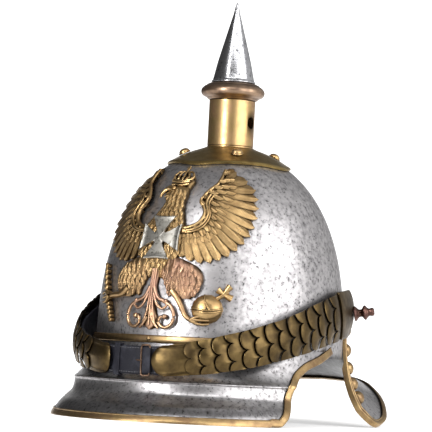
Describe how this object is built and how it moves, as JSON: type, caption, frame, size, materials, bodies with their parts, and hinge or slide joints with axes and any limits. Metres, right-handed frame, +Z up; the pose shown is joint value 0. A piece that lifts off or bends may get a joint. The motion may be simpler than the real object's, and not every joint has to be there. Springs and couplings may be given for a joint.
{
  "type": "cuirassier helmet",
  "caption": "Steel parade helmet with visor, flared neck guard, brass trim, spike, cast eagle plate and scaled chin strap worn round the front.",
  "frame": {"origin": "under the middle of the outer box, on the surface the helmet stands on", "axes": "+Z up along the spike, -Y towards the front, +X to the wearer's left"},
  "size_m": [0.2172, 0.32, 0.3195],
  "materials": {
    "steel": "worn polish with dark patina",
    "bright_steel": "polished",
    "brass": "aged, rubbed bright on the raised parts",
    "aged_brass": "brown patina",
    "copper": "copper-brown patina",
    "leather": "dark, worn"
  },
  "bodies": {
    "root": {"skull_front": "steel", "skull_back": "steel", "visor": "steel", "visor_trim": "brass", "front_band": "brass", "band_rivet": "brass", "neck_guard": "steel", "neck_guard_trim": "brass", "guard_rivet_left_1": "brass", "guard_rivet_left_2": "brass", "guard_rivet_left_3": "brass", "guard_rivet_left_4": "brass", "guard_rivet_left_5": "brass", "guard_rivet_right_1": "brass", "guard_rivet_right_2": "brass", "guard_rivet_right_3": "brass", "guard_rivet_right_4": "brass", "guard_rivet_right_5": "brass", "eagle": "brass", "breast_cross": "bright_steel", "spike_base": "brass", "base_stud_1": "brass", "base_stud_2": "brass", "base_stud_3": "brass", "base_stud_4": "brass", "spike_tube": "brass", "spike_collar": "aged_brass", "spike": "bright_steel", "chin_scales_left": "brass", "chin_scales_right": "brass", "boss_plate_left": "brass", "boss_plate_right": "brass", "strap_knob_left": "copper", "strap_knob_right": "copper", "strap_leather_left": "leather", "strap_leather_right": "leather", "buckle_frame": "copper", "buckle_tab": "leather", "strap_keeper": "leather"}
  },
  "joints": []
}
